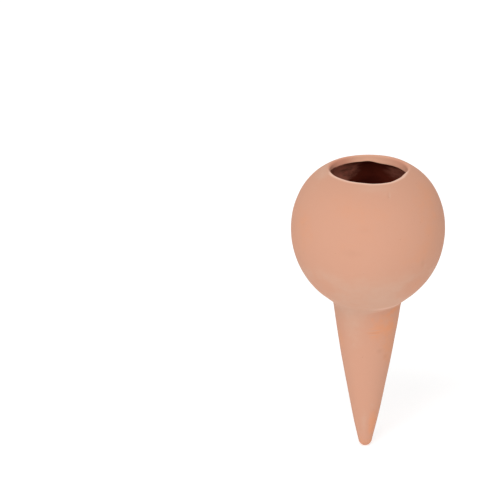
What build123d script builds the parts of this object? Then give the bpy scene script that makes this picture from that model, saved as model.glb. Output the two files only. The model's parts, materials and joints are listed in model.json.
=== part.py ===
from build123d import *
from math import acos, asin, atan2, cos, degrees, hypot, sin, sqrt
import os

# A self watering spike of fired clay, in millimetres. A hollow globe holds the water, a hollow
# cone with a closed tip stands in the soil, and a ring of slip bonds the two.
# The origin is on the axis at the soil line, where the globe meets the cone. +Z points up.

# Globe
GLOBE_DIAMETER = 100.0
BOWL_RADIUS = 55.0  # arc of the wall from the equator down to the drain
SIDE_RADIUS = 57.0  # arc of the wall from the equator up to the shoulder
SIDE_RISE = 22.3  # height above the equator where the shoulder begins
SHOULDER_RADIUS = 37.7  # arc of the wall from there to the mouth
GLOBE_WALL = 4.5
MOUTH_DIAMETER = 51.0
LIP_ROUND = 1.8
MOUTH_INNER_ROUND = 0.6
DRAIN_DIAMETER = 30.0
DRAIN_ROUND = 1.0

# Spike
SEAM_DIAMETER = 44.8  # outside of the cone where it meets the globe
SPIKE_LENGTH = 102.2  # soil line to the tip
FLANK_RADIUS = 1150.0  # the cone's side is a very long arc, which gives it a slight belly
TIP_ROUND = 4.4
SPIKE_WALL = 4.5
BORE_END_ROUND = 2.5

# Slip ring
SLIP_THICKNESS = 0.8
SLIP_FILLET = 4.0

# Places that follow from the sizes above
globe_radius = GLOBE_DIAMETER / 2
mouth_radius = MOUTH_DIAMETER / 2
drain_radius = DRAIN_DIAMETER / 2
seam_radius = SEAM_DIAMETER / 2
bowl_x = globe_radius - BOWL_RADIUS
equator_z = sqrt(BOWL_RADIUS**2 - (seam_radius - bowl_x) ** 2)
side_x = globe_radius - SIDE_RADIUS
side_turn = asin(SIDE_RISE / SIDE_RADIUS)
shoulder_x = side_x + (SIDE_RADIUS - SHOULDER_RADIUS) * cos(side_turn)
shoulder_z = equator_z + (SIDE_RADIUS - SHOULDER_RADIUS) * sin(side_turn)


def find_flank_centre():
    """Centre of the arc that passes through the seam and runs tangent into the tip's ball."""
    ball_z = TIP_ROUND - SPIKE_LENGTH
    ball_reach = FLANK_RADIUS - TIP_ROUND
    seam_reach = hypot(seam_radius, ball_z)
    opening = acos((seam_reach**2 + ball_reach**2 - FLANK_RADIUS**2) / (2 * seam_reach * ball_reach))
    heading = atan2(-ball_z, seam_radius) + opening
    return ball_reach * cos(heading), ball_z + ball_reach * sin(heading)


flank_x, flank_z = find_flank_centre()


def arc(centre, radius, start, end):
    """Arc about a centre from one angle to another, in radians from the section's X axis."""
    return CenterArc(centre, radius, degrees(start), degrees(end - start))


def globe_section(inset=0.0):
    """Half section of the whole globe, with its surface moved in by inset (out if negative)."""
    bowl_radius = BOWL_RADIUS - inset
    side_radius = SIDE_RADIUS - inset
    shoulder_radius = SHOULDER_RADIUS - inset
    bowl = arc((bowl_x, equator_z), bowl_radius, -acos(-bowl_x / bowl_radius), 0)
    side = arc((side_x, equator_z), side_radius, 0, side_turn)
    crown_end = acos(-shoulder_x / shoulder_radius)
    shoulder = arc((shoulder_x, shoulder_z), shoulder_radius, side_turn, crown_end)
    return make_face([bowl, side, shoulder, Line(shoulder @ 1, bowl @ 0)])


def cone_section(side_radius, end_round):
    """Half section below the soil line, with its side on an arc about the flank's centre."""
    ball_z = flank_z - sqrt((side_radius - end_round) ** 2 - flank_x**2)
    top_radius = flank_x + sqrt(side_radius**2 - flank_z**2)
    low = atan2(ball_z - flank_z, -flank_x)
    high = atan2(-flank_z, top_radius - flank_x)
    end = arc((0, ball_z), end_round, -acos(0), low)
    side = arc((flank_x, flank_z), side_radius, low, high)
    return make_face([end, side, Line(side @ 1, (0, 0)), Line((0, 0), end @ 0)])


def turn(section):
    """Solid of revolution of a half section about the part's axis."""
    return revolve(Plane.XZ * section, Axis.Z)


def rings(solid, radius):
    """Circular edges of one radius, from the lowest to the highest."""
    circles = solid.edges().filter_by(GeomType.CIRCLE)
    return circles.filter_by(lambda edge: abs(edge.radius - radius) < 0.001).sort_by(Axis.Z)


def make_globe():
    """Shell with a round mouth in its crown and a round drain in its floor."""
    mouth = Pos(0, equator_z) * Rectangle(mouth_radius, GLOBE_DIAMETER, align=(Align.MIN, Align.MIN))
    drain = Pos(0, equator_z) * Rectangle(drain_radius, GLOBE_DIAMETER, align=(Align.MIN, Align.MAX))
    shell = turn(globe_section() - globe_section(GLOBE_WALL) - mouth - drain)
    shell = fillet(rings(shell, mouth_radius)[-1], LIP_ROUND)
    shell = fillet(rings(shell, mouth_radius)[0], MOUTH_INNER_ROUND)
    return fillet(rings(shell, drain_radius)[-1], DRAIN_ROUND)


cone = cone_section(FLANK_RADIUS, TIP_ROUND)
bore = cone_section(FLANK_RADIUS - SPIKE_WALL, BORE_END_ROUND)


def make_spike():
    """Hollow cone with a closed tip, dished on top to seat the globe on its bed of slip."""
    return turn(cone - bore - globe_section(-SLIP_THICKNESS))


def make_luting_ring(spike):
    """Slip that fills the seat and is smoothed into a fillet around the seam."""
    bonded = turn(globe_section() + cone)
    bonded = fillet(rings(bonded, seam_radius)[0], SLIP_FILLET)
    return bonded - turn(globe_section()) - spike - turn(bore)


spike = make_spike()
nodes = {
    "globe": make_globe(),
    "spike": spike,
    "luting_ring": make_luting_ring(spike),
}

os.makedirs("parts", exist_ok=True)
for name, solid in nodes.items():
    export_step(solid, f"parts/{name}.step")
    box = solid.bounding_box()
    print(f"{name}: {solid.volume / 1000:.1f} cm3, z {box.min.Z:.2f} to {box.max.Z:.2f} mm")
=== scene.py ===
# %% [markdown]
# # A watering spike of fired clay
# The object is plain pottery: a hollow globe that holds water, a hollow cone that stands in the soil
# and lets the water seep out, and a ring of slip (liquid clay) that bonds the two before firing.
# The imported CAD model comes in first, as a fixed frame. Its solids could be shown as they are with a
# new material, but clay worked by hand is never quite true. So the pieces are turned again here from
# the same sizes, with a mouth that is cut by hand, a wiped seam and a slightly uneven wall.

# %% Load the frame
import json
from math import acos, asin, atan2, cos, hypot, pi, radians, sin, sqrt

import bmesh
import bpy
import numpy as np
from mathutils import Matrix, Vector, noise


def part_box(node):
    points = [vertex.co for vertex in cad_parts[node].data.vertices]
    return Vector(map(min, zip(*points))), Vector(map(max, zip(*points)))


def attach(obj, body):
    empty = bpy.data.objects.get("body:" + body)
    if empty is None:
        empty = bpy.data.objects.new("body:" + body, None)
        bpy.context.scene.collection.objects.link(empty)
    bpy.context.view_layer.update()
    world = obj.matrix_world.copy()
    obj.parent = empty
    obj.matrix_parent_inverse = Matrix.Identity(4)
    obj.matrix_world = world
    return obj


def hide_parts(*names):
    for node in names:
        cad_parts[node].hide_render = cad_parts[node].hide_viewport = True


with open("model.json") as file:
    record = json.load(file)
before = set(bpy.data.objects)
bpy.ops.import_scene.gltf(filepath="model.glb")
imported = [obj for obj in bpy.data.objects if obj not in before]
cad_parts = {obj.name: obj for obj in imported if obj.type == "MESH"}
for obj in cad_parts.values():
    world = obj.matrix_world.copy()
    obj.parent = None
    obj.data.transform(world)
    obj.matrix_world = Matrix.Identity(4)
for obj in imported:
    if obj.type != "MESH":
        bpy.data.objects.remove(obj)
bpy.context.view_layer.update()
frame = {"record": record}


# %% [markdown]
# ## Sizes
# What the frame holds is read from it: the nodes' boxes, and the mouth's radius from its mount. The
# radii of the wall's arcs can't be read from a box, so they are named here. Blender counts in
# metres, and a factor MM keeps the numbers readable.

# %% Name the sizes
MM = 0.001

mouth_mount = next(mount for mount in frame["record"]["mounts"] if mount["name"] == "mouth")
globe_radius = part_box("globe")[1].x
mouth_radius = mouth_mount["dims"]["r_mm"] * MM
spike_length = -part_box("spike")[0].z

BOWL_RADIUS = 55.0 * MM  # wall from the equator down to the drain
SIDE_RADIUS = 57.0 * MM  # wall from the equator up to the shoulder
SIDE_RISE = 22.3 * MM  # height above the equator where the shoulder begins
SHOULDER_RADIUS = 37.7 * MM  # wall from there to the mouth
WALL = 4.5 * MM
LIP_ROUND = 1.8 * MM
EDGE_ROUND = 0.6 * MM  # inner edge of the mouth
DRAIN_RADIUS = 15.0 * MM
DRAIN_ROUND = 1.0 * MM
SEAM_RADIUS = 22.4 * MM  # outside of the cone where it meets the globe
FLANK_RADIUS = 1150.0 * MM  # the cone's side is a long arc with a slight belly
TIP_ROUND = 4.4 * MM
BORE_ROUND = 2.5 * MM
SLIP_BED = 0.8 * MM  # slip between the globe and the cone's dished top

# Centres of the wall's arcs in the half section: distance from the axis and height
bowl_reach = globe_radius - BOWL_RADIUS
equator = sqrt(BOWL_RADIUS**2 - (SEAM_RADIUS - bowl_reach) ** 2)
bowl = (bowl_reach, equator)
side = (globe_radius - SIDE_RADIUS, equator)
side_turn = asin(SIDE_RISE / SIDE_RADIUS)
shoulder = (
    side[0] + (SIDE_RADIUS - SHOULDER_RADIUS) * cos(side_turn),
    side[1] + (SIDE_RADIUS - SHOULDER_RADIUS) * sin(side_turn),
)
print(f"equator {equator / MM:.2f} mm above the soil line, tip {spike_length / MM:.1f} mm below it")

# %% [markdown]
# ## The camera
# The photograph looks down on the globe by about 20 degrees, from so far away that it shows hardly
# any perspective: the mouth's ellipse and the cone's sides fit a parallel view to half a pixel. An
# orthographic camera would give that exactly, but a very long lens comes as close as one can see,
# and such a camera can still be walked round the object. It is moved sideways to bring the object to
# its place in the picture, so it needs no shift, and rolled a little, because the axis leans there.

# %% Place the camera
PHOTO_PIXELS = 500
GLOBE_PIXELS = 154.3  # width of the globe in the photograph
EQUATOR_PIXEL = (368.0, 228.85)  # middle of the globe in the photograph, from its upper left corner
CAMERA_ELEVATION = radians(20.5)
OBJECT_LEAN = radians(0.62)  # the axis leans this much to the right in the picture
LENS = 1200.0  # focal length in Blender's millimetres


def make_camera():
    """Camera that sees the globe's middle at its pixel and at its size in the photograph."""
    pixel = 2 * globe_radius / GLOBE_PIXELS
    data = bpy.data.cameras.new("camera")
    data.lens = LENS
    distance = PHOTO_PIXELS * pixel * data.lens / data.sensor_width
    right = (EQUATOR_PIXEL[0] - PHOTO_PIXELS / 2) * pixel
    up = (PHOTO_PIXELS / 2 - EQUATOR_PIXEL[1]) * pixel
    turned = Matrix.Rotation(pi / 2 - CAMERA_ELEVATION, 3, "X") @ Matrix.Rotation(OBJECT_LEAN, 3, "Z")
    camera = bpy.data.objects.new("camera", data)
    camera.rotation_euler = turned.to_euler()
    camera.location = Vector((0, 0, equator)) - turned @ Vector((right, up, -distance))
    bpy.context.scene.collection.objects.link(camera)
    bpy.context.scene.camera = camera
    return camera


camera = make_camera()
print(f"camera {camera.location.length:.2f} m away and {camera.location.z:.2f} m up")

# %% [markdown]
# ## Turning a section
# Every piece here was turned or cast round, so one half section swung about the axis would do. A
# Screw modifier does that, but it gives the same section all the way round. These pieces change with
# the azimuth: the mouth is cut by hand and the slip is wiped on. So each azimuth gets a half section
# of its own, and the mesh joins each one to its neighbour.

# %% Draw and turn half sections
AROUND = 240  # half sections round the axis
azimuths = np.linspace(-180, 180, AROUND, endpoint=False)  # degrees: 0 is +X, -90 faces the camera


def polar(centre, radius, turn):
    """Points at a radius and at angles about a centre, as rows of (distance from axis, height)."""
    radius, turn = np.broadcast_arrays(radius, turn)
    return np.column_stack([centre[0] + radius * np.cos(turn), centre[1] + radius * np.sin(turn)])


def arc(centre, radius, start, end, steps):
    """Points of an arc in the half section, both ends included."""
    return polar(centre, radius, np.linspace(start, end, steps + 1))


def ease(share):
    """Smooth step from 0 to 1."""
    share = np.clip(share, 0, 1)
    return share * share * (3 - 2 * share)


def turn_mesh(name, sections, marks, finish, closed=True):
    """Mesh through one half section for each azimuth. Marks are values on its points for the
    materials, and finish is each section point's material number."""
    count, points = sections.shape[:2]
    turns = np.radians(azimuths)[:, None]
    reach, height = sections[..., 0], sections[..., 1]
    places = np.dstack([reach * np.cos(turns), reach * np.sin(turns), height])
    index = np.arange(count * points).reshape(count, points)
    beside = np.roll(index, -1, axis=0)
    faces = np.dstack([index, beside, np.roll(beside, -1, axis=1), np.roll(index, -1, axis=1)])
    finishes = np.tile(finish, (count, 1))
    if not closed:
        faces = faces[:, :-1]
        finishes = finishes[:, :-1]
    mesh = bpy.data.meshes.new(name)
    mesh.from_pydata(places.reshape(-1, 3).tolist(), [], faces.reshape(-1, 4).tolist())
    mesh.polygons.foreach_set("material_index", np.ascontiguousarray(finishes).ravel())
    for mark, values in marks.items():
        layer = mesh.attributes.new(mark, "FLOAT", "POINT")
        layer.data.foreach_set("value", np.ascontiguousarray(values, dtype=np.float32).ravel())
    return mesh


print(f"{AROUND} half sections, one every {360 / AROUND} degrees")

# %% [markdown]
# ## A wall that is a little uneven
# A clay wall shrinks and sags by tenths of a millimetre as it dries. A Displace modifier could do
# this, but moving the points along their normals by a noise that depends only on their place lets
# the globe, the cone and the slip between them move together, so that no gap opens at the seam.

# %% Move points and add pieces
SAG_DEPTH = 0.22 * MM
SAG_SPAN = 24.0 * MM
DENT_DEPTH = 0.05 * MM
DENT_SPAN = 7.0 * MM
WELD = 0.001 * MM
SHARP_EDGE = radians(50)


def unevenness(place):
    """How far the clay stands out at a place."""
    return SAG_DEPTH * noise.noise(place / SAG_SPAN) + DENT_DEPTH * noise.noise(place / DENT_SPAN)


def settle(mesh):
    """Welds the points on the axis, makes the wall uneven and shades it smooth."""
    work = bmesh.new()
    work.from_mesh(mesh)
    bmesh.ops.remove_doubles(work, verts=work.verts, dist=WELD)
    work.normal_update()
    moves = [vert.normal * unevenness(vert.co) for vert in work.verts]
    for vert, move in zip(work.verts, moves):
        vert.co += move
    work.to_mesh(mesh)
    work.free()
    mesh.shade_smooth()
    mesh.set_sharp_from_angle(angle=SHARP_EDGE)


def add_piece(mesh, node, materials):
    """Puts a mesh in the scene in place of a CAD node."""
    settle(mesh)
    for material in materials:
        mesh.materials.append(material)
    piece = bpy.data.objects.new(mesh.name, mesh)
    bpy.context.scene.collection.objects.link(piece)
    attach(piece, "root")
    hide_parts(node)
    print(f"{piece.name}: {len(mesh.polygons)} faces")


print(f"the clay stands out or in by up to {(SAG_DEPTH + DENT_DEPTH) / MM:.2f} mm")

# %% [markdown]
# ## Node groups for clay
# All the clay is one body, so its effects are node groups that each material uses with its own
# values. A small helper adds a node and fills its sockets, which keeps the groups short to read.
# The groups take the object's own coordinates in millimetres: every piece has its origin on the
# axis at the soil line, so a blotch that starts on the globe runs on over the slip and the cone.

# %% Helpers for shader nodes
COLOUR_A, COLOUR_B, COLOUR_OUT = 6, 7, 2  # sockets of a Mix node that mixes colours


def add_node(tree, kind, inputs=None, **settings):
    """Adds a shader node and gives its inputs values or links, by socket name or number."""
    made = tree.nodes.new("ShaderNode" + kind)
    for key, value in settings.items():
        setattr(made, key, value)
    for key, value in (inputs or {}).items():
        if isinstance(value, bpy.types.NodeSocket):
            tree.links.new(value, made.inputs[key])
        else:
            made.inputs[key].default_value = value
    return made


def maths(tree, operation, first, second=0.0, third=0.0):
    """Output of a Math node."""
    return add_node(tree, "Math", {0: first, 1: second, 2: third}, operation=operation).outputs[0]


def ramp(tree, value, low, high, start=0.0, end=1.0):
    """Smooth change from start to end while the value goes from low to high."""
    inputs = {"Value": value, "From Min": low, "From Max": high, "To Min": start, "To Max": end}
    return add_node(tree, "MapRange", inputs, interpolation_type="SMOOTHSTEP").outputs["Result"]


def mix_colours(tree, factor, first, second):
    """Colour output of a Mix node."""
    inputs = {0: factor, COLOUR_A: first, COLOUR_B: second}
    return add_node(tree, "Mix", inputs, data_type="RGBA").outputs[COLOUR_OUT]


def millimetres(tree, stretch=(1.0, 1.0, 1.0)):
    """The object's own coordinates in millimetres, stretched along an axis if wanted."""
    place = add_node(tree, "TexCoord").outputs["Object"]
    scale = tuple(1 / (MM * axis) for axis in stretch)
    return add_node(tree, "VectorMath", {0: place, 1: scale}, operation="MULTIPLY").outputs["Vector"]


def cloud(tree, place, span, detail=3.0, roughness=0.55):
    """Noise with blotches of about a span in millimetres, between -0.5 and 0.5 or so."""
    inputs = {"Vector": place, "Scale": 1 / span, "Detail": detail, "Roughness": roughness}
    return maths(tree, "SUBTRACT", add_node(tree, "TexNoise", inputs).outputs["Fac"], 0.5)


print("shader nodes of Blender", bpy.app.version_string)


# %% Helpers for node groups
def new_group(name, inputs, outputs):
    """Empty node group with named sockets. Returns it with its inputs and outputs to link to."""
    tree = bpy.data.node_groups.new(name, "ShaderNodeTree")
    for socket, value in inputs.items():
        kind = "Float" if isinstance(value, float) else "Color" if len(value) == 4 else "Vector"
        made = tree.interface.new_socket(socket, in_out="INPUT", socket_type="NodeSocket" + kind)
        made.default_value = value
    for socket, kind in outputs.items():
        tree.interface.new_socket(socket, in_out="OUTPUT", socket_type="NodeSocket" + kind)
    return tree, tree.nodes.new("NodeGroupInput").outputs, tree.nodes.new("NodeGroupOutput").inputs


def use_group(tree, group, inputs):
    """Places a node group in a material and returns its outputs."""
    return add_node(tree, "Group", inputs, node_tree=group).outputs


print("node groups so far:", len(bpy.data.node_groups))

# %% [markdown]
# ## Bloom: the pale film on the clay
# As clay dries, salts come to its surface and fire to a pale film. Where the film is rubbed off, the
# warmer orange of the body shows. So the colour isn't painted: one value, the cover of the film,
# runs from bare clay over the common middle tone to a thick film, and blotches of noise vary it.

# %% Group: clay cover
# Spans of the noise in millimetres
BLOTCH_SPAN = 26.0
SPECK_SPAN = 3.2
STREAK_SPAN = 1.6
STREAK_STRETCH = (16.0, 16.0, 1.0)  # streaks run round the axis


def make_cover_group():
    """Cover of the pale film, in broad blotches and fine ones, wiped round the axis a little."""
    inputs = {"Cover": 0.5, "Broad": 0.3, "Fine": 0.1, "Wiped": 0.1}
    tree, given, result = new_group("clay_cover", inputs, {"Cover": "Float"})
    place = millimetres(tree)
    clouds = {
        "Broad": cloud(tree, place, BLOTCH_SPAN),
        "Fine": cloud(tree, place, SPECK_SPAN, detail=5.0, roughness=0.65),
        "Wiped": cloud(tree, millimetres(tree, STREAK_STRETCH), STREAK_SPAN, detail=4.0),
    }
    cover = given["Cover"]
    for share, noise_value in clouds.items():
        cover = maths(tree, "MULTIPLY_ADD", noise_value, given[share], cover)
    tree.links.new(cover, result["Cover"])
    return tree


clay_cover = make_cover_group()
print(clay_cover.name, "sockets:", [socket.name for socket in clay_cover.interface.items_tree])


# %% Group: clay colour
def make_colour_group():
    """Colour of the clay under a film of some cover: bare at 0, common at 0.5, thick at 1."""
    tones = {
        "Bare": (0.685, 0.308, 0.17, 1.0),
        "Common": (0.612, 0.325, 0.223, 1.0),
        "Thick": (0.612, 0.378, 0.278, 1.0),
    }
    tree, given, result = new_group("clay_colour", {"Cover": 0.5} | tones, {"Color": "Color"})
    thin = ramp(tree, given["Cover"], 0.0, 0.5)
    thick = ramp(tree, given["Cover"], 0.5, 1.0)
    under = mix_colours(tree, thin, given["Bare"], given["Common"])
    tree.links.new(mix_colours(tree, thick, under, given["Thick"]), result["Color"])
    return tree


clay_colour = make_colour_group()
print(clay_colour.name, "ready")


# %% [markdown]
# ## Marks in one place
# A rubbed patch or a wiped band lies in one place on the real spike. One could paint an image for
# this, but a soft ball of some size, its edge made ragged by noise, needs only a centre and a size,
# and it lies right on every piece that it touches.

# %% Groups: soft spot and height band
SPOT_EDGE_SPAN = 6.0  # spans of the ragged edges in millimetres
BAND_EDGE_SPAN = 9.0


def make_spot_group():
    """Mask of a ragged soft spot about a centre, with half its size along each axis."""
    inputs = {"Centre": (0.0, 0.0, 0.0), "Size": (5.0, 5.0, 5.0), "Ragged": 0.6}
    tree, given, result = new_group("soft_spot", inputs, {"Mask": "Float"})
    place = millimetres(tree)
    offset = add_node(tree, "VectorMath", {0: place, 1: given["Centre"]}, operation="SUBTRACT")
    share = add_node(tree, "VectorMath", {0: offset.outputs[0], 1: given["Size"]}, operation="DIVIDE")
    length = add_node(tree, "VectorMath", {0: share.outputs[0]}, operation="LENGTH").outputs["Value"]
    ragged = cloud(tree, place, SPOT_EDGE_SPAN, detail=5.0)
    edge = maths(tree, "MULTIPLY_ADD", ragged, given["Ragged"], length)
    tree.links.new(ramp(tree, edge, 0.0, 1.0, 1.0, 0.0), result["Mask"])
    return tree


def make_band_group():
    """Mask of a band between two heights, with a fade and a ragged edge."""
    inputs = {"Low": 0.0, "High": 5.0, "Fade": 3.0, "Ragged": 4.0}
    tree, given, result = new_group("height_band", inputs, {"Mask": "Float"})
    place = millimetres(tree)
    height = add_node(tree, "SeparateXYZ", {0: place}).outputs["Z"]
    height = maths(tree, "MULTIPLY_ADD", cloud(tree, place, BAND_EDGE_SPAN), given["Ragged"], height)
    fade_start = maths(tree, "SUBTRACT", given["Low"], given["Fade"])
    above = ramp(tree, height, fade_start, given["Low"])
    fade_end = maths(tree, "ADD", given["High"], given["Fade"])
    below = ramp(tree, height, given["High"], fade_end, 1.0, 0.0)
    tree.links.new(maths(tree, "MULTIPLY", above, below), result["Mask"])
    return tree


soft_spot = make_spot_group()
height_band = make_band_group()
print(soft_spot.name, "and", height_band.name, "ready")


# %% [markdown]
# ## Grain
# Fired clay is sandy to the touch: fine grain, a few pinholes where air escaped, and faint lines
# where a wet sponge went round. All this could be sculpted, but it is too small for a mesh of this
# size. So it goes to a Bump node as a height in millimetres, and outside the pinholes also get a
# darker tone, as painted shade in the holes.

# %% Group: clay grain
SAND_SPAN = 0.45
SPONGE_SPAN = 0.9
SPONGE_STRETCH = (22.0, 22.0, 1.0)
PIT_SPACING = 2.6
PIT_CHANCE = (0.86, 0.94)  # a cell whose random value lies above these has a pinhole
PIT_EDGE = (0.05, 0.15)  # the pinhole's radius as a share of the spacing


def make_grain_group():
    """Height of the grain in millimetres, and the mask of pinholes."""
    inputs = {"Sand": 0.02, "Lines": 0.02, "Pits": 0.05}
    tree, given, result = new_group("clay_grain", inputs, {"Height": "Float", "Pit": "Float"})
    place = millimetres(tree)
    sand = maths(tree, "MULTIPLY", cloud(tree, place, SAND_SPAN, roughness=0.7), given["Sand"])
    sponged = cloud(tree, millimetres(tree, SPONGE_STRETCH), SPONGE_SPAN, detail=2.0)
    lines = maths(tree, "MULTIPLY", sponged, given["Lines"])
    cells = add_node(tree, "TexVoronoi", {"Vector": place, "Scale": 1 / PIT_SPACING, "Randomness": 1.0})
    drawn = add_node(tree, "SeparateXYZ", {0: cells.outputs["Color"]}).outputs["X"]
    chosen = ramp(tree, drawn, *PIT_CHANCE)
    hole = ramp(tree, cells.outputs["Distance"], *PIT_EDGE, 1.0, 0.0)
    pit = maths(tree, "MULTIPLY", chosen, hole)
    depth = maths(tree, "MULTIPLY", pit, given["Pits"])
    height = maths(tree, "SUBTRACT", maths(tree, "ADD", sand, lines), depth)
    tree.links.new(height, result["Height"])
    tree.links.new(pit, result["Pit"])
    return tree


clay_grain = make_grain_group()
print(clay_grain.name, "ready")

# %% [markdown]
# ## Places on the clay
# The marks below are listed by azimuth and height, because that is how one finds them again on a
# turned piece. They could be typed in as coordinates, but three small functions work them out, in the
# millimetres that the groups take.

# %% Find places on the globe and the cone
CONE_SLOPE = (SEAM_RADIUS - TIP_ROUND) / spike_length


def around(azimuth, reach, height):
    """Place at an azimuth in degrees, a distance from the axis and a height, in their unit."""
    return (reach * cos(radians(azimuth)), reach * sin(radians(azimuth)), height)


def on_cone(azimuth, height):
    """Place on the cone's side, in millimetres."""
    return around(azimuth, SEAM_RADIUS / MM + CONE_SLOPE * height, height)


def on_globe(azimuth, height):
    """Place on the globe's outside, in millimetres."""
    rise = height * MM - equator
    if rise < 0:
        reach = bowl[0] + sqrt(BOWL_RADIUS**2 - rise**2)
    elif rise < SIDE_RISE:
        reach = side[0] + sqrt(SIDE_RADIUS**2 - rise**2)
    else:
        reach = shoulder[0] + sqrt(SHOULDER_RADIUS**2 - (height * MM - shoulder[1]) ** 2)
    return around(azimuth, reach / MM, height)


print("front of the globe at the equator:", [round(value, 1) for value in on_globe(-90, equator / MM)])

# %% [markdown]
# ## The clay outside
# Outside, the spike has a pale pinkish film. It is thicker under the globe and where slip was wiped
# over the seam, and rubbed through to orange at the tip, along one side of the cone and below the
# seam. The lip is paler than all the rest, because a wet finger smoothed it, and a painted highlight
# runs along its crest. All this could be painted on unwrapped meshes, but a list of places and sizes
# stays easy to change and suits all the pieces. Points of the meshes carry marks for the lip, the cut
# face and the slip, read by their names. The cut face's paler tone is painted light and its darker
# red ends are painted shade.

# %% List the marks of use
TIP_Z = -spike_length / MM

# Centre, half size in millimetres, and the film that is added there, or rubbed off if negative
FILM_MARKS = [
    (on_cone(-114, -18), (13.0, 12.0, 22.0), 0.22),
    (on_cone(-68, -14), (16.0, 14.0, 12.0), -0.42),
    (on_cone(-74, -7), (8.0, 8.0, 4.5), -0.2),
    (on_cone(-22, -8), (13.0, 15.0, 14.0), -0.36),
    (on_cone(-58, -4), (14.0, 13.0, 7.0), -0.42),
    (on_cone(-36, -2), (9.0, 11.0, 5.0), -0.3),
    (on_cone(-34, -29), (11.0, 12.0, 26.0), -0.26),
    (on_cone(-152, -22), (7.0, 8.0, 28.0), -0.15),
    (on_cone(-51, -86), (5.5, 5.5, 26.0), -0.4),
    ((0.0, 0.0, TIP_Z), (10.5, 10.5, 11.5), -0.4),
    (on_cone(-96, -82), (3.4, 5.0, 17.0), 0.2),
    (on_cone(-66, -71), (2.6, 3.0, 3.4), 0.25),
    (on_globe(-14, 79), (26.0, 32.0, 22.0), -0.14),
    (on_globe(176, 88), (15.0, 22.0, 10.0), 0.3),
    (on_globe(-152, 52), (28.0, 34.0, 38.0), -0.1),
    (on_globe(-34, 50), (28.0, 34.0, 38.0), -0.14),
    (on_globe(-98, 77), (38.0, 24.0, 21.0), -0.08),
    (on_globe(-84, 87), (24.0, 10.0, 7.0), 0.2),
    (on_globe(-42, 18), (20.0, 20.0, 14.0), -0.45),
    (on_globe(-132, 18), (20.0, 20.0, 14.0), -0.3),
    (on_globe(-154, 62), (14.0, 16.0, 16.0), -0.12),
    (on_globe(-40, 34), (2.2, 3.0, 4.5), 0.15),
    (on_globe(-68, 83), (1.2, 4.0, 5.5), 0.2),
    (on_cone(-76, -15.5), (8.0, 5.0, 1.0), 0.3),
    (on_cone(-78, -18.8), (7.0, 5.0, 0.9), 0.25),
    (on_globe(118, 60), (18.0, 16.0, 9.0), -0.18),
    (on_globe(66, 36), (14.0, 12.0, 10.0), 0.16),
    (on_globe(146, 34), (12.0, 14.0, 9.0), -0.2),
    (on_cone(74, -22), (13.0, 11.0, 24.0), -0.28),
    (on_cone(140, -52), (8.0, 8.0, 22.0), -0.28),
    (on_cone(104, -74), (5.0, 5.0, 16.0), 0.2),
]

# Centre, half size in millimetres, and how dark the smudge is
SMUDGES = [
    (on_cone(-61, -31), (4.4, 4.0, 2.8), 0.13),
    (on_cone(-44, -36), (3.4, 3.4, 3.2), 0.11),
    (on_cone(-76, -17.2), (7.0, 5.0, 0.9), 0.14),
    (on_globe(-93, 64), (7.0, 5.0, 3.6), 0.03),
    (on_globe(-103, 48.5), (11.0, 5.0, 4.0), 0.06),
    (on_globe(-44, 37.5), (2.2, 3.0, 5.0), 0.1),
    (on_globe(-70, 83), (1.2, 4.0, 5.0), 0.08),
    (around(38, 30, 88), (9.0, 9.0, 4.0), 0.15),
    (on_globe(104, 47), (9.0, 6.0, 2.6), 0.1),
    (on_globe(52, 66), (2.4, 3.0, 6.0), 0.1),
    (on_cone(118, -33), (4.4, 4.4, 2.6), 0.15),
    (on_cone(62, -46), (3.2, 3.2, 3.0), 0.12),
]
print(len(FILM_MARKS), "marks in the film,", len(SMUDGES), "smudges")


# %% Helpers for materials
def new_material(name):
    """New material. Returns it with its node tree and its Principled BSDF."""
    material = bpy.data.materials.new(name)
    material.use_nodes = True
    return material, material.node_tree, material.node_tree.nodes["Principled BSDF"]


def add_attribute(tree, name):
    """A mark that the mesh carries on its points."""
    return add_node(tree, "Attribute", attribute_name=name).outputs["Fac"]


def add_spots(tree, marks, ragged):
    """Masks of soft spots with their shares, from rows of centre, half size and share."""
    spots = []
    for centre, size, share in marks:
        inputs = {"Centre": centre, "Size": size, "Ragged": ragged}
        spots.append((use_group(tree, soft_spot, inputs)["Mask"], share))
    return spots


def add_shares(tree, cover, shares):
    """Cover of the film or the wash, with masks added to it by their shares."""
    for mask, share in shares:
        cover = maths(tree, "MULTIPLY_ADD", mask, share, cover)
    return cover


def dress_clay(tree, shader, colour, roughness, height):
    """Links colour and roughness to the shader, and the grain's height by a Bump node."""
    bump = add_node(tree, "Bump", {"Height": height, "Distance": MM, "Strength": 1.0})
    tree.links.new(colour, shader.inputs["Base Color"])
    tree.links.new(roughness, shader.inputs["Roughness"])
    tree.links.new(bump.outputs["Normal"], shader.inputs["Normal"])


print("node groups to use:", sorted(group.name for group in bpy.data.node_groups))

# %% Material: clay outside
MARK_RAGGED = 0.9
SMUDGE_TONE = (0.32, 0.15, 0.09, 1.0)
# pale tone of the smoothed lip, also used for the painted highlights on the lip and the bead
LIP_TONE = (0.76, 0.50, 0.385, 1.0)
# Mark on the points of a mesh, the share of its tone where it is full, and the tone
POINT_TONES = [
    # painted light: the cut face's pale tone, partly bare cut clay, lightens the face where it lies in
    # shade
    ("cut", 0.9, (0.84, 0.485, 0.335, 1.0)),
    # painted shade: darker red at the ends of the cut face
    ("shade", 0.9, (0.63, 0.28, 0.19, 1.0)),
    # pale lip with a painted highlight along its crest
    ("lip", 0.9, LIP_TONE),
    # pale slip on the bead, partly a painted highlight
    ("bead", 0.7, LIP_TONE),
]
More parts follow.
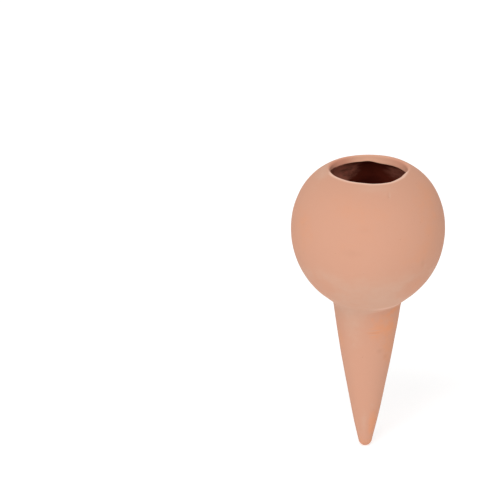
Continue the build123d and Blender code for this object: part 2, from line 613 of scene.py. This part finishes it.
# pinholes take part of the smudges' dark tone, as painted shade in the holes
PIT_PAINTED_SHADE = 0.35  # how much of the smudges' tone a pinhole has
FILM_NOISE = {"Cover": 0.5, "Broad": 0.4, "Fine": 0.12, "Wiped": 0.1}
UNDER_GLOBE = {"Low": 0.0, "High": 19.0, "Fade": 22.0, "Ragged": 8.0}  # heights in millimetres
UNDER_GLOBE_FILM = 0.3  # how much thicker the film is there
FILM_GRAIN = {"Sand": 0.03, "Lines": 0.015, "Pits": 0.08}  # heights in millimetres
FILM_ROUGHNESS = (0.78, 0.95)  # of bare clay and of a thick film


def film_cover(tree, slip_share):
    """Cover of the film, thicker under the globe, with the slip's own film and the marks of use."""
    cover = use_group(tree, clay_cover, FILM_NOISE)["Cover"]
    under = use_group(tree, height_band, UNDER_GLOBE)["Mask"]
    shares = [(under, UNDER_GLOBE_FILM), (add_attribute(tree, "film"), slip_share)]
    return add_shares(tree, cover, shares + add_spots(tree, FILM_MARKS, MARK_RAGGED))


def make_clay(name, slip_share):
    """Unglazed clay with its film, and the share of film that slip adds to it."""
    material, tree, shader = new_material(name)
    cover = film_cover(tree, slip_share)
    colour = use_group(tree, clay_colour, {"Cover": cover})["Color"]
    grain = use_group(tree, clay_grain, FILM_GRAIN)
    # the pinholes get the dark tone as painted shade, the smudges as marks on the clay
    dark = [(grain["Pit"], PIT_PAINTED_SHADE)] + add_spots(tree, SMUDGES, MARK_RAGGED)
    tones = [(mask, share, SMUDGE_TONE) for mask, share in dark]
    tones += [(add_attribute(tree, mark), share, tone) for mark, share, tone in POINT_TONES]
    for mask, share, tone in tones:
        colour = mix_colours(tree, maths(tree, "MULTIPLY", mask, share), colour, tone)
    roughness = ramp(tree, cover, 0.0, 1.0, *FILM_ROUGHNESS)
    dress_clay(tree, shader, colour, roughness, grain["Height"])
    shader.inputs["Diffuse Roughness"].default_value = 0.2
    shader.inputs["Specular IOR Level"].default_value = 0.08
    return material


clay_outside = make_clay("clay_outside", slip_share=0.0)
slip_clay = make_clay("slip_clay", slip_share=0.04)
print(clay_outside.name, "and", slip_clay.name, "ready")


# %% [markdown]
# ## The clay inside
# Inside, the clay has a dark red brown wash. It is lighter on both sides of the mouth, as painted
# light, and darker at the back, as painted shade. Little light comes in through the mouth, so a plain
# dark colour would do for the photograph, but a view from above looks right down to the drain. The
# same groups with darker tones, lighter in a few places and towards the floor, keep it clay.

# %% Material: clay inside
# The colour group's tones for a bare, common and thick film are here those of a thick to a thin wash;
# the light tone of the thin wash also carries the painted light near the mouth
WASH_TONES = {
    "Bare": (0.07, 0.008, 0.004, 1.0),
    "Common": (0.15, 0.023, 0.0115, 1.0),
    "Thick": (0.82, 0.31, 0.21, 1.0),
}

# Centre, half size in millimetres, and how much thinner and lighter the wash is, or thicker and darker
# if negative. The first eight, near the mouth, are painted light on both sides of it and painted shade
# at the back.
WASH_AND_PAINTED_LIGHT_MARKS = [
    (around(136, 37, 71), (33.0, 33.0, 41.0), 0.8),
    (around(112, 40, 68), (12.0, 11.0, 9.0), 0.17),
    (around(97, 39, 73), (9.0, 10.0, 12.0), 0.12),
    (around(126, 36, 77), (8.0, 8.0, 10.0), 0.08),
    (around(44, 36, 73), (32.0, 32.0, 38.0), 0.47),
    (around(90, 44, 58), (26.0, 20.0, 17.0), -0.45),
    (around(108, 34, 80), (8.0, 10.0, 8.0), 0.15),
    (around(71, 36, 76), (12.0, 12.0, 11.0), 0.12),
    (around(-75, 40, 70), (28.0, 28.0, 32.0), 0.38),
    (around(-160, 42, 62), (24.0, 24.0, 32.0), 0.4),
    (around(0, 44, 55), (24.0, 26.0, 34.0), 0.36),
]

WASH_RAGGED = 0.5
WASH_NOISE = {"Cover": 0.3, "Broad": 0.25, "Fine": 0.1, "Wiped": 0.1}
# the wash is thinner, so lighter, towards the floor of the globe and in the cone
LIGHTER_FLOOR = {"Low": TIP_Z, "High": 2.0, "Fade": 44.0, "Ragged": 7.0}
LIGHTER_FLOOR_SHARE = 0.7  # how much thinner the wash is on the floor of the globe and in the cone
WASH_GRAIN = {"Sand": 0.04, "Lines": 0.05, "Pits": 0.08}
WASH_ROUGHNESS = (0.85, 0.97)  # of a thick wash and of a thin one


def make_inside(name):
    """Clay under a dark wash, with painted light and shade near the mouth, and a grain of its own."""
    material, tree, shader = new_material(name)
    cover = use_group(tree, clay_cover, WASH_NOISE)["Cover"]
    lighter_floor = use_group(tree, height_band, LIGHTER_FLOOR)["Mask"]
    # the marks near the mouth paint light on both sides of it and shade at the back
    cover = add_shares(tree, cover, [(lighter_floor, LIGHTER_FLOOR_SHARE)] + add_spots(tree, WASH_AND_PAINTED_LIGHT_MARKS, WASH_RAGGED))
    colour = use_group(tree, clay_colour, {"Cover": cover} | WASH_TONES)["Color"]
    grain = use_group(tree, clay_grain, WASH_GRAIN)
    roughness = ramp(tree, cover, 0.0, 1.0, *WASH_ROUGHNESS)
    dress_clay(tree, shader, colour, roughness, grain["Height"])
    shader.inputs["Diffuse Roughness"].default_value = 1.0
    shader.inputs["Specular IOR Level"].default_value = 0.1
    return material


clay_inside = make_inside("clay_inside")
print(clay_inside.name, "ready")

# %% [markdown]
# ## The globe
# The globe is a shell with a round mouth. On the real one the mouth was cut by hand: the lip dips and
# rises by tenths of a millimetre, the cut slants at the back, and the wall left at the back right is
# thicker than elsewhere. A perfect ring would look like plastic, so the radius of the mouth, the
# slant of the cut and the thickness of the wall all change with the azimuth, in a few soft stretches.

# %% Cut the mouth
# Start, end and blend in degrees of azimuth, and the change in millimetres
MOUTH_CUTS = [
    (-168, -16, 14, -0.3),
    (-165, -135, 20, -0.25),
    (-82, -62, 18, 0.5),
    (-34, -14, 20, -0.6),
    (-24, 2, 12, -0.5),
]
WALL_CUTS = [(18, 70, 22, 1.0), (10, 28, 14, 0.35), (104, 142, 16, 0.42)]
# At the back the knife went in at a slant, so the top of the cut lies further out than its foot
SLANT_CUTS = [(45, 135, 35, 0.8)]
# Azimuths where the cut face gets a darker red tone, the red of bare clay darkened as painted shade,
# here with its share
PAINTED_SHADE_CUTS = [(26, 40, 38, 0.6), (132, 160, 30, 0.95)]
# Azimuths where the pale line on the lip, partly a painted highlight, is wider, and where it is lost
LIP_CUTS = [(-150, -40, 30, 0.8), (10, 120, 30, -1.2), (152, 190, 18, -1.0)]


def cut(azimuth, cuts):
    """Sum of soft stretches round the axis at an azimuth."""
    total = 0.0
    for start, end, blend, change in cuts:
        away = abs((azimuth - (start + end) / 2 + 180) % 360 - 180) - (end - start) / 2
        total += change * MM * float(ease(1 - away / blend))
    return total


mouth_changes = [cut(azimuth, MOUTH_CUTS) / MM for azimuth in azimuths]
print(f"radius of the mouth: {min(mouth_changes):+.2f} to {max(mouth_changes):+.2f} mm from the CAD")

# %% Draw the globe's section
# the lip's pale line is partly its paler clay and partly a painted highlight on its crest
LIP_CREST = radians(98)  # direction of the lip's palest line, seen in the half section
LIP_PALE = 0.1 * MM  # half the width of the pale line
LIP_FADE = 1.1 * MM
# the cut face's painted light grows from its top to its foot, which lies deeper in shade
CUT_TOP = 0.4  # share of the cut face's tone at its top, from where it grows to 1 at its foot
# Steps of the arcs outside, from the drain up to the inner edge of the mouth, and of those inside
BOWL_STEPS, SIDE_STEPS, SHOULDER_STEPS, LIP_STEPS, EDGE_STEPS = 60, 18, 32, 12, 3
INNER_SHOULDER_STEPS, INNER_SIDE_STEPS, INNER_BOWL_STEPS, DRAIN_STEPS = 24, 12, 36, 5


def rounded_edge(reach, centre, radius, way):
    """Centre of a rounded edge at a distance from the axis, and its direction from an arc's centre."""
    turn = way * acos((reach - centre[0]) / radius)
    return (reach, centre[1] + radius * sin(turn)), turn


def globe_section(azimuth):
    """Half section of the shell: up the outside, over the lip and down the inside to the drain."""
    mouth = mouth_radius + cut(azimuth, MOUTH_CUTS)
    wall = WALL + cut(azimuth, WALL_CUTS)
    slant = cut(azimuth, SLANT_CUTS)
    top = mouth + slant / 2 + LIP_ROUND
    foot = mouth - slant / 2 + EDGE_ROUND
    lip, lip_turn = rounded_edge(top, shoulder, SHOULDER_RADIUS - LIP_ROUND, 1)
    edge, edge_turn = rounded_edge(foot, shoulder, SHOULDER_RADIUS - wall + EDGE_ROUND, 1)
    face_turn = pi - atan2(slant, lip[1] - edge[1])
    drain_reach = DRAIN_RADIUS + DRAIN_ROUND
    drain, drain_turn = rounded_edge(drain_reach, bowl, BOWL_RADIUS - wall + DRAIN_ROUND, -1)
    floor_turn = -acos((DRAIN_RADIUS - bowl[0]) / BOWL_RADIUS)
    outside = [
        arc(bowl, BOWL_RADIUS, floor_turn, 0, BOWL_STEPS)[:-1],
        arc(side, SIDE_RADIUS, 0, side_turn, SIDE_STEPS)[:-1],
        arc(shoulder, SHOULDER_RADIUS, side_turn, lip_turn, SHOULDER_STEPS)[:-1],
        arc(lip, LIP_ROUND, lip_turn, face_turn, LIP_STEPS),
        arc(edge, EDGE_ROUND, face_turn, pi + edge_turn / 2, EDGE_STEPS),
    ]
    inside = [
        arc(edge, EDGE_ROUND, pi + edge_turn / 2, pi + edge_turn, EDGE_STEPS)[1:],
        arc(shoulder, SHOULDER_RADIUS - wall, edge_turn, side_turn, INNER_SHOULDER_STEPS)[1:-1],
        arc(side, SIDE_RADIUS - wall, side_turn, 0, INNER_SIDE_STEPS)[:-1],
        arc(bowl, BOWL_RADIUS - wall, 0, drain_turn, INNER_BOWL_STEPS)[:-1],
        arc(drain, DRAIN_ROUND, drain_turn + pi, pi, DRAIN_STEPS),
    ]
    section = np.vstack(outside + inside)
    crest = polar(lip, LIP_ROUND, [LIP_CREST])[0]
    from_crest = np.hypot(section[:, 0] - crest[0], section[:, 1] - crest[1])
    inward = (lip[0] - section[:, 0]) / LIP_ROUND
    face = ease(2 * inward) * (section[:, 1] > edge[1] - EDGE_ROUND)
    depth = np.clip((lip[1] - section[:, 1]) / (lip[1] - edge[1]), 0, 1)
    marks = {
        # pale lip, and a painted highlight along its crest
        "lip": 1 - ease((from_crest - LIP_PALE - cut(azimuth, LIP_CUTS)) / LIP_FADE),
        # painted light on the cut face, stronger towards its foot
        "cut": face * (CUT_TOP + (1 - CUT_TOP) * depth),
        # painted shade at the ends of the cut face
        "shade": face * cut(azimuth, PAINTED_SHADE_CUTS) / MM,
    }
    return section, marks, sum(map(len, outside))


print(len(globe_section(azimuths[0])[0]), "points in each half section of the globe")


# %% Make the globe
def make_globe():
    """Shell of the globe with marks on the crest of its lip and on the cut face."""
    made = [globe_section(azimuth) for azimuth in azimuths]
    sections = np.array([section for section, marks, inside in made])
    marks = {name: np.array([row[name] for section, row, inside in made]) for name in made[0][1]}
    finish = (np.arange(sections.shape[1]) >= made[0][2]).astype(np.int32)
    mesh = turn_mesh("globe_shell", sections, marks, finish)
    add_piece(mesh, "globe", [clay_outside, clay_inside])


make_globe()

# %% [markdown]
# ## The cone
# The cone is hollow with a closed tip, and its top is dished to seat the globe. Blender's own cone
# would be straight and solid, but this side isn't quite straight: a very long arc gives it the slight
# belly that the photograph shows, and runs tangent into the ball of the tip. The corners of the
# section are where circles cross, so they are worked out and not typed in.

# %% Find the corners of the cone
def find_flank():
    """Centre of the arc that passes through the seam and runs tangent into the tip's ball."""
    ball_z = TIP_ROUND - spike_length
    ball_reach = FLANK_RADIUS - TIP_ROUND
    seam_reach = hypot(SEAM_RADIUS, ball_z)
    opening = acos((seam_reach**2 + ball_reach**2 - FLANK_RADIUS**2) / (2 * seam_reach * ball_reach))
    heading = atan2(-ball_z, SEAM_RADIUS) + opening
    return ball_reach * cos(heading), ball_z + ball_reach * sin(heading)


flank = find_flank()
seat_radius = BOWL_RADIUS + SLIP_BED
bore_radius = FLANK_RADIUS - WALL


def seat_corner(side_radius):
    """Where a cone about the flank's centre meets the dished seat: its angles about both centres."""
    gap = hypot(bowl[0] - flank[0], bowl[1] - flank[1])
    heading = atan2(bowl[1] - flank[1], bowl[0] - flank[0])
    opening = acos((gap**2 + side_radius**2 - seat_radius**2) / (2 * gap * side_radius))
    turn = heading - opening
    place = polar(flank, side_radius, [turn])[0]
    return turn, atan2(place[1] - bowl[1], place[0] - bowl[0])


def ball_below(side_radius, ball_radius):
    """Height of a ball on the axis that is tangent to the side, and the angle where they touch."""
    height = flank[1] - sqrt((side_radius - ball_radius) ** 2 - flank[0] ** 2)
    return height, atan2(height - flank[1], -flank[0])


bore_end = ball_below(bore_radius, BORE_ROUND)[0] - BORE_ROUND
print(f"the bore ends {-bore_end / MM:.1f} mm below the soil line")

# %% Make the cone
TIP_STEPS, FLANK_STEPS, SEAT_STEPS, BORE_STEPS, BORE_END_STEPS = 14, 110, 6, 60, 8


def cone_section():
    """Half section of the cone: from the tip up the side, over the seat and down the bore."""
    tip_z, tip_turn = ball_below(FLANK_RADIUS, TIP_ROUND)
    end_z, end_turn = ball_below(bore_radius, BORE_ROUND)
    top_turn, seat_out = seat_corner(FLANK_RADIUS)
    bore_turn, seat_in = seat_corner(bore_radius)
    return [
        arc((0, tip_z), TIP_ROUND, -pi / 2, tip_turn, TIP_STEPS)[:-1],
        arc(flank, FLANK_RADIUS, tip_turn, top_turn, FLANK_STEPS),
        arc(bowl, seat_radius, seat_out, seat_in, SEAT_STEPS)[1:-1],
        arc(flank, bore_radius, bore_turn, end_turn, BORE_STEPS)[:-1],
        arc((0, end_z), BORE_ROUND, end_turn, -pi / 2, BORE_END_STEPS),
    ]


def make_cone():
    """Hollow cone with its seat and bore in the darker clay of the inside."""
    pieces = cone_section()
    section = np.vstack(pieces)
    finish = (np.arange(len(section)) >= len(pieces[0]) + len(pieces[1]) - 1).astype(np.int32)
    sections = np.tile(section, (AROUND, 1, 1))
    mesh = turn_mesh("spike_cone", sections, {}, finish, closed=False)
    add_piece(mesh, "spike", [clay_outside, clay_inside])


make_cone()

# %% [markdown]
# ## The slip at the seam
# Slip fills the seat and was smoothed over the seam with a finger. On the right its lower edge is a
# faint bead that runs up into a pale line, and on the left it is wiped out to nothing. The pale tone
# of the bead and the line is partly the slip's own and partly a painted highlight. A fillet of
# one size all round is what the CAD holds. Here each azimuth has its own lower edge, its own
# feathered end and its own bead, and the thin ends dive just under the clay so that no edge shows.

# %% Measure the slip
FILM = 0.16 * MM  # thickness of the film of slip
DIVE = 0.06 * MM  # the film's ends lie this far under the clay
UNDER = 0.3 * MM  # the slip's back lies this far in the clay
COVE_LOW = 3.0 * MM  # from the seam down to where the cove runs into the film on the cone
COVE_TOP = 4.5 * MM  # from the seam up to where it runs into the film on the globe
SLIP_TOP = 8.0 * MM  # film on the globe above the seam
TOP_FEATHER = 3.0 * MM
SLIP_LOW = 2.4 * MM  # film on the cone below the seam
SHARP_FEATHER = 0.5 * MM
BEAD_WIDTH = 0.4 * MM

# Start, end and blend in degrees of azimuth, and the change in millimetres
LOW_CUTS = [(-58, -36, 22, -0.6), (-8, 20, 25, 1.0), (80, 120, 30, 0.7), (-170, -105, 25, 4.2)]
FEATHER_CUTS = [(-175, -105, 22, 4.8), (60, 130, 30, 1.2)]
BEAD_CUTS = [(-80, -64, 14, 0.06), (140, 170, 30, 0.07)]
# Where the bead runs up into the cove, it is only a pale line, partly pale slip and partly a painted
# highlight
LINE_CUTS = [(-64, -38, 26, 0.85)]
LINE_RISE = 0.3 * MM
LINE_WIDTH = 1.2 * MM

seam_turn = atan2(-bowl[1], SEAM_RADIUS - bowl[0])
flank_turn = atan2(-flank[1], SEAM_RADIUS - flank[0])


def on_bowl(rise, lift):
    """Points on the globe's outside at distances above the seam, lifted off the clay."""
    return polar(bowl, BOWL_RADIUS + lift, seam_turn + rise / BOWL_RADIUS)


def on_flank(drop, lift):
    """Points on the cone's side at distances below the seam, lifted off the clay."""
    return polar(flank, FLANK_RADIUS + lift, flank_turn - drop / FLANK_RADIUS)


low_edges = [(SLIP_LOW + cut(azimuth, LOW_CUTS)) / MM for azimuth in azimuths]
print(f"lower edge of the slip {min(low_edges):.1f} to {max(low_edges):.1f} mm below the seam")

# %% Make the slip
# Points of the film on the cone, of the cove, of the film on the globe and of each side of the back
LOW_POINTS, COVE_POINTS, TOP_POINTS, BACK_POINTS = 28, 14, 12, 6


def slip_section(azimuth):
    """Half section of the slip: up its skin from the lower edge, and back through the seat."""
    low = SLIP_LOW + cut(azimuth, LOW_CUTS)
    feather = SHARP_FEATHER + cut(azimuth, FEATHER_CUTS)
    bead = cut(azimuth, BEAD_CUTS)
    cove_low = min(COVE_LOW, low - SHARP_FEATHER)
    drop = np.linspace(low, cove_low, LOW_POINTS)
    film_low = ease((low - drop) / feather)
    bead_low = np.exp(-(((low - BEAD_WIDTH - drop) / BEAD_WIDTH) ** 2))
    rise = np.linspace(COVE_TOP, SLIP_TOP, TOP_POINTS)
    film_top = ease((SLIP_TOP - rise) / TOP_FEATHER)
    below = on_flank(drop, film_low * (FILM + DIVE) - DIVE + bead * bead_low)
    above = on_bowl(rise, film_top * (FILM + DIVE) - DIVE)
    corner_lift = FILM + bead * bead_low[-1]
    middle = (on_bowl(np.zeros(1), corner_lift) + on_flank(np.zeros(1), corner_lift)) / 2
    share = np.linspace(0, 1, COVE_POINTS)[1:-1, None]
    corner = (1 - share) ** 2 * below[-1] + 2 * share * (1 - share) * middle + share**2 * above[0]
    seat_out = seat_corner(FLANK_RADIUS)[1]
    seat_in = seat_corner(bore_radius)[1]
    back = [
        on_bowl(np.linspace(SLIP_TOP, 0, BACK_POINTS), -UNDER),
        arc(bowl, BOWL_RADIUS, seam_turn, seat_in, SEAT_STEPS)[1:],
        arc(bowl, seat_radius, seat_in, seat_out, SEAT_STEPS)[:-1],
        on_flank(np.linspace(SLIP_BED, low, BACK_POINTS), -UNDER),
    ]
    section = np.vstack([below, corner, above] + back)
    behind = len(section) - len(below) - len(corner) - len(above)
    film = np.concatenate([film_low, np.ones(len(corner)), film_top, np.zeros(behind)])
    # the pale tone of the bead and the line is partly pale slip and partly a painted highlight
    beads = np.concatenate([bead_low * np.clip(bead / FILM, 0, 1), np.zeros(len(section) - len(below))])
    line = np.exp(-(((section[:, 1] - LINE_RISE) / LINE_WIDTH) ** 2)) * cut(azimuth, LINE_CUTS) / MM
    return section, film, np.maximum(beads, line)


def make_slip():
    """Ring of slip with marks for its film and its bead."""
    made = [slip_section(azimuth) for azimuth in azimuths]
    sections, film, beads = (np.array(rows) for rows in zip(*made))
    finish = np.zeros(sections.shape[1], np.int32)
    mesh = turn_mesh("slip_ring", sections, {"film": film, "bead": beads}, finish)
    add_piece(mesh, "luting_ring", [slip_clay])


make_slip()

# %% [markdown]
# ## Floor and light
# The photograph has soft light from all round and a white ground. A white world gives part of it. The
# wide floor is the sheet of a light table: it throws light back up under the globe, and about half
# of its brightness is its own glow, which keeps the ground white and the shadow faint. One large
# softbox from the upper left makes the right side a little darker, so that the globe reads as round.
# A weak one behind keeps the back from going dull when one walks round the object.

# %% Make the floor
FLOOR_SIZE = 12.0
FLOOR_TONES = [(0.62, 0.62, 0.62, 1.0), (0.64, 0.64, 0.64, 1.0)]  # it is faintly cloudy between these
FLOOR_CLOUD_SPAN = 60.0
FLOOR_GLOW = 0.53
WHITE = (1.0, 1.0, 1.0, 1.0)


def make_floor():
    """Wide pale floor at the level of the tip."""
    half = FLOOR_SIZE / 2
    mesh = bpy.data.meshes.new("floor")
    corners = [(-half, -half), (half, -half), (half, half), (-half, half)]
    mesh.from_pydata([(x, y, -spike_length) for x, y in corners], [], [(0, 1, 2, 3)])
    material, tree, shader = new_material("floor_white")
    cloudy = ramp(tree, cloud(tree, millimetres(tree), FLOOR_CLOUD_SPAN), -0.3, 0.3)
    tree.links.new(mix_colours(tree, cloudy, *FLOOR_TONES), shader.inputs["Base Color"])
    shader.inputs["Roughness"].default_value = 0.9
    shader.inputs["Specular IOR Level"].default_value = 0.1
    shader.inputs["Emission Color"].default_value = WHITE
    shader.inputs["Emission Strength"].default_value = FLOOR_GLOW
    mesh.materials.append(material)
    floor = bpy.data.objects.new("floor", mesh)
    bpy.context.scene.collection.objects.link(floor)
    return floor


floor = make_floor()
print(f"floor at {floor.data.vertices[0].co.z / MM:.1f} mm")

# %% Light the scene
WORLD_STRENGTH = 0.52


def add_softbox(name, azimuth, elevation, distance, size, power):
    """Square area light that faces the object from a direction in degrees."""
    data = bpy.data.lights.new(name, "AREA")
    data.size = size
    data.energy = power
    light = bpy.data.objects.new(name, data)
    tilt = radians(elevation)
    place = Vector(around(azimuth, cos(tilt) * distance, sin(tilt) * distance))
    light.location = place
    light.visible_camera = False
    light.rotation_euler = place.to_track_quat("Z", "Y").to_euler()
    bpy.context.scene.collection.objects.link(light)
    return light


world = bpy.data.worlds.new("studio")
world.use_nodes = True
world.node_tree.nodes["Background"].inputs["Color"].default_value = WHITE
world.node_tree.nodes["Background"].inputs["Strength"].default_value = WORLD_STRENGTH
bpy.context.scene.world = world
bpy.context.scene.view_settings.view_transform = "Standard"
key = add_softbox("key_softbox", azimuth=-103, elevation=47, distance=2.6, size=1.8, power=42.8)
back = add_softbox("back_softbox", azimuth=90, elevation=20, distance=2.6, size=2.2, power=14.0)
for softbox in (key, back):
    print(f"{softbox.name}: {softbox.data.energy:.0f} W")
